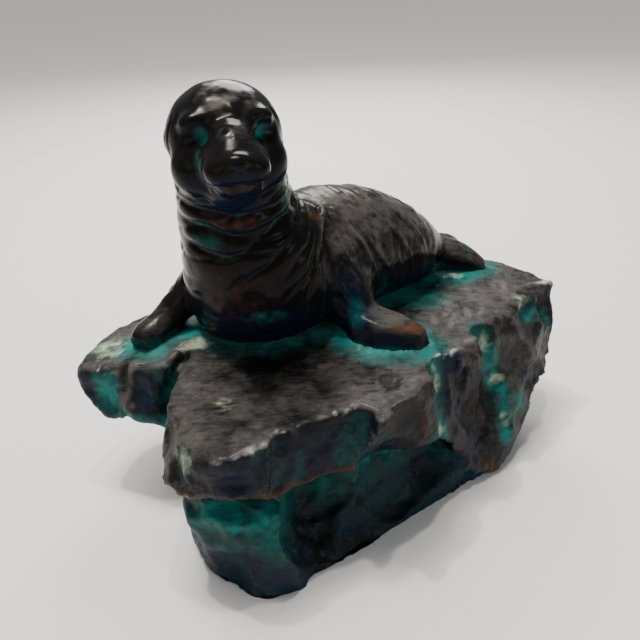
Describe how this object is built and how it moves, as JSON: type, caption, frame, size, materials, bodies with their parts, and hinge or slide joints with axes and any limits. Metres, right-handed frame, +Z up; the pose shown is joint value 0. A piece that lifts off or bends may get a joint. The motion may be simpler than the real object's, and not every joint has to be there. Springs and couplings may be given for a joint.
{
  "type": "sea lion figurine",
  "caption": "One-piece cast figurine of a sea lion resting on a jagged sea rock, dark lacquered bronze tone with green patina in the hollows.",
  "frame": {"origin": "on the table plane under the middle of the figurine's box", "axes": "+Z up; the animal's chest and face look towards -Y; the trunk runs back to the right, towards +X and +Y; +X is the longest extent"},
  "size_m": [0.2072, 0.1622, 0.1649],
  "materials": {
    "patinated_casting": "near-black lacquer over cold-cast resin, glossy on the animal and satin on the rock, turquoise patina sprayed into hollows, burnished edges"
  },
  "bodies": {
    "root": {"sea_lion_on_rock": "patinated_casting"}
  },
  "joints": []
}
